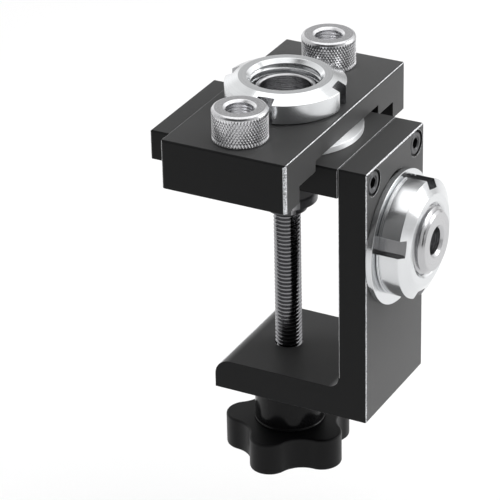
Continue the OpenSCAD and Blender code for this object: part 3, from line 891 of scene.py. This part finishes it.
def clamp_screw(material):
    """M8 screw with its thread, from its tip in the pad to its end in the knob."""
    name = "clamp_screw"
    top, shoulder, r, tip_r = height_mm(name, UPRIGHT), 78.6, 4.0, 2.8
    ease, foot, tip_ease = 0.5, 1.0, 0.3
    thread = grow(THREAD, material, Radius=r, Low=foot, High=shoulder - ease, Pitch=1.25,
                  Depth=-0.72, Segments=72)
    profile = [(0.0, 0.0), (r - ease, 0.0), (r, foot), thread, (r, shoulder - ease),
               (r - ease, shoulder), (tip_r, shoulder), (tip_r, top - tip_ease),
               (tip_r - tip_ease, top), (0.0, top)]
    mesh = put(turned_mesh(name, profile, 72), axis_foot(name, UPRIGHT), UPRIGHT)
    finish_piece(name, smooth(mesh), material, "screw")


def rail_screws(material):
    """Two cap screws in the leg's counterbores."""
    name = "rail_screws"
    top, head_h, spacing, socket, socket_deep = height_mm(name, OUTWARD), 4.0, 28.0, 3.0, 2
    r, head_r, rim, dish_r, dish = 2.0, 3.5, 0.4, 2.2, 0.3
    under_head = top - head_h
    thread_end = under_head - 1
    thread = grow(THREAD, material, Radius=r, Low=rim, High=thread_end, Pitch=0.7,
                  Depth=-0.4, Segments=48)
    profile = [(0.0, 0.0, SHARP), (r - rim, 0.0, SHARP), (r, rim, SHARP), thread,
               (r, thread_end, SHARP), (r, under_head, SHARP), (head_r, under_head),
               (head_r, top - rim), (head_r - rim, top), (dish_r, top),
               (dish_r - dish, top - dish, SHARP), (0.0, top - dish, SHARP)]
    blank = turned_mesh(name, eased(profile, 0.1), 48)
    mesh = grow(SCREWS, material, blank, Count=2, Spacing=spacing, Socket=socket,
                Socket_floor=top - socket_deep)
    low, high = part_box(name)
    put(mesh, Vector((low.x, 0, (low.z + high.z) / 2)), OUTWARD)
    finish_piece(name, smooth(mesh, 30), material, "frame")


def knob_hub(material):
    """Glossy turned hub with a softly rounded shoulder."""
    name = "knob_hub"
    top, spigot, r, r_hole, spigot_r = height_mm(name, UPRIGHT), 7.0, 10.7, 4.05, 7.5
    lip, lip_low, lip_high, shoulder = 0.25, spigot + 0.5, spigot + 0.8, 0.9
    profile = [(r_hole, 0.0), (spigot_r, 0.0), (spigot_r, spigot, SHARP), (r, spigot),
               (r, lip_low), (r - lip, lip_high), (r - lip, top - shoulder),
               (r - shoulder, top), (r_hole, top)]
    mesh = turned_mesh(name, eased(profile, 0.3, 4), 128)
    put(mesh, axis_foot(name, UPRIGHT), UPRIGHT)
    finish_piece(name, smooth(mesh), material, "screw")


def star_knob(material):
    """Five-lobed knob with a rounded rim and the seats of the hub and the screw."""
    name = "star_knob"
    t, tip, waist, lobe, first, ease = height_mm(name, UPRIGHT), 19.4, 14.4, 6.0, -18.4, 0.7
    spigot_r, spigot_floor, screw_r, screw_floor, core = 7.55, 3.35, 4.05, 1.95, 8.0
    profile = [(0.0, 0.0, SHARP), (core, 0.0, SHARP), (tip, 0.0), (tip, t), (core, t, SHARP),
               (spigot_r, t, SHARP), (spigot_r, spigot_floor, SHARP),
               (screw_r, spigot_floor, SHARP), (screw_r, screw_floor, SHARP),
               (0.0, screw_floor, SHARP)]
    blank = turned_mesh(name, eased(profile, ease, 5), 300)
    mesh = grow(STAR, material, blank, Lobes=5, Tip_radius=tip, Waist_radius=waist,
                Lobe_radius=lobe, Core_radius=core + 1, First_angle=math.radians(first))
    along = axis_foot("clamp_screw", UPRIGHT)
    put(mesh, Vector((along.x, along.y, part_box(name)[0].z)), UPRIGHT)
    finish_piece(name, smooth(mesh), material, "screw")


def lamp(name, at, towards, size, radiance):
    """A soft rectangular lamp. Its radiance is what a mirror would show of it."""
    data = bpy.data.lights.new(name, "AREA")
    data.shape, data.size, data.size_y = "RECTANGLE", size[0], size[1]
    data.energy = radiance * math.pi * size[0] * size[1]
    thing = link(name, data)
    thing.location = at
    thing.rotation_mode = "QUATERNION"
    thing.rotation_quaternion = (Vector(towards) - Vector(at)).to_track_quat("-Z", "Y")


# Each wall: where it stands, how squarely a ray must meet it to see it at all and in full,
# and how bright it is. All of the studio is at least dim
WALLS = (((-0.55, 0.70, 0.42), 0.25, 0.95, 0.36),
         ((-0.97, -0.10, 0.25), 0.50, 0.88, 0.75),
         ((0.90, 0.40, 0.20), 0.40, 0.88, 0.7),
         ((0.35, 0.80, 0.45), 0.80, 0.97, 0.7),
         ((-0.62, 0.78, -0.05), 0.80, 0.98, 0.6),
         ((0.0, 0.15, 0.98), 0.75, 0.98, 0.5))
DIM = 0.09


def studio_walls():
    """Soft surroundings: a dim front, and pale walls behind, at both sides and overhead."""
    world = bpy.data.worlds.new("studio")
    bpy.context.scene.world = world
    world.use_nodes = True
    tree = world.node_tree
    direction = tree.nodes.new("ShaderNodeTexCoord").outputs["Generated"]
    level = None
    for towards, start, end, amount in WALLS:
        facing = place_node(tree, "ShaderNodeVectorMath", {"operation": "DOT_PRODUCT"})
        feed(tree, facing.inputs[0], direction)
        facing.inputs[1].default_value = Vector(towards).normalized()
        wall = place_node(tree, "ShaderNodeMapRange", {"interpolation_type": "SMOOTHSTEP"},
                          Value=facing.outputs["Value"], From_Min=start, From_Max=end,
                          To_Min=0.0, To_Max=amount)
        part = Term(tree, wall.outputs[0])
        level = part if level is None else level + part
    level = level + DIM
    grey = join_vector(tree, level, level, level)
    tree.links.new(grey, tree.nodes["Background"].inputs["Color"])


def pale_floor():
    """A pale floor, low enough for the knob's whole travel. From below it is clear."""
    half, white = 4.0, 0.95
    travel = next(joint["range_m"][0] for joint in frame["record"]["behaviour"]["joints"]
                  if joint["name"] == "clamp_feed")
    z = cad_box[0].z + travel - MM
    mesh = bpy.data.meshes.new("floor")
    mesh.from_pydata([(-half, -half, z), (half, -half, z), (half, half, z), (-half, half, z)],
                     [], [(0, 1, 2, 3)])
    floor = link("floor", mesh)
    paint = Finish("pale floor", Roughness=0.9, Specular_IOR_Level=0.1)
    paint.shader.inputs["Base Color"].default_value = (white, white, white, 1)
    nodes = paint.tree.nodes
    sides = place_node(paint.tree, "ShaderNodeMixShader",
                       Fac=nodes.new("ShaderNodeNewGeometry").outputs["Backfacing"])
    paint.tree.links.new(paint.shader.outputs["BSDF"], sides.inputs[1])
    clear = nodes.new("ShaderNodeBsdfTransparent")
    paint.tree.links.new(clear.outputs["BSDF"], sides.inputs[2])
    paint.tree.links.new(sides.outputs["Shader"], nodes["Material Output"].inputs["Surface"])
    mesh.materials.append(paint.material)


def studio():
    """The floor, the walls and two soft lamps."""
    pale_floor()
    studio_walls()
    lamp("overhead lamp", at=(0.05, 0.10, 1.2), towards=(0, 0, 0), size=(1.6, 1.5),
         radiance=1.2)
    lamp("lamp at the right", at=(0.65, 0.45, 0.28), towards=(0, 0, -0.03), size=(0.4, 0.5),
         radiance=3.6)
    bpy.context.scene.view_settings.view_transform = "Standard"


aim_camera()

BLACK = anodised("black anodised aluminium")
DARK = turned_steel("blackened steel", "edge_ring_nut", OUTWARD, (0.05, 0.05, 0.052),
                    (0.11, 0.11, 0.115), roughness=(0.3, 0.42), spacing=0.00015,
                    depth=0.000006, streak=0.2)

milled_piece("clamp_frame", BLACK, "frame", is_bare_highlight=screw_rims)
milled_piece("top_rail", BLACK, "frame", ease=0.2, is_bare_highlight=lit_rail_end)
milled_piece("drill_block", BLACK, "carriage", is_bare_highlight=lit_corner_at_front)
rail_screws(DARK)
milled_piece("pressure_pad", DARK, "pad", ease=0.15)

guide_sleeve("cam_guide_sleeve", UPRIGHT, bore_r=7.5, bore_chamfer=0.4, body="carriage",
             material=satin("cam guide steel", "cam_guide_sleeve", UPRIGHT, 0.38, 0.56, 0.6))
ring_nut("cam_ring_nut", UPRIGHT, 6.0, polished("cam nut steel", "cam_ring_nut", UPRIGHT),
         "cam_nut")
# The cam washer's steel is brighter than the edge washer's: painted light on a washer that sits
# in the block's shadow
washer("cam_washer", UPRIGHT,
       turned_steel("cam washer steel", "cam_washer", UPRIGHT, (0.76, 0.77, 0.78),
                    (0.88, 0.89, 0.90), roughness=(0.44, 0.54), spacing=0.0002,
                    depth=0.000006, streak=0.9),
       "carriage")

guide_sleeve("edge_guide_sleeve", OUTWARD, bore_r=4.0, bore_chamfer=0.8, body="edge_guide",
             material=satin("edge guide steel", "edge_guide_sleeve", OUTWARD, 0.38, 0.56, 0.6))
ring_nut("edge_ring_nut", OUTWARD, -14.0, polished("edge nut steel", "edge_ring_nut", OUTWARD),
         "edge_nut", collar=1.2)
washer("edge_washer", OUTWARD, polished("edge washer steel", "edge_washer", OUTWARD),
       "edge_guide")

for side in ("front", "rear"):
    bushing = f"{side}_dowel_bushing"
    dowel_bushing(bushing, satin(f"{side} bushing steel", bushing, UPRIGHT, 0.76, 0.96, 0.0),
                  f"{side}_bushing")

# The clamp screw's steel is darker than its own bright zinc: painted shade
clamp_screw(turned_steel("clamp screw steel", "clamp_screw", UPRIGHT, (0.15, 0.15, 0.155),
                         (0.27, 0.27, 0.28), roughness=(0.12, 0.2), spacing=0.0002,
                         depth=0.000006, streak=0.0))
knob_hub(moulded("glossy black hub", (0.004, 0.004, 0.0045), (0.008, 0.008, 0.0085),
                 roughness=(0.12, 0.2), grain_size=0.0006, depth=0.000002))
star_knob(moulded("satin black knob", (0.0035, 0.0035, 0.004), (0.0075, 0.0075, 0.008),
                  roughness=(0.34, 0.44), grain_size=0.0003, depth=0.00002))

studio()
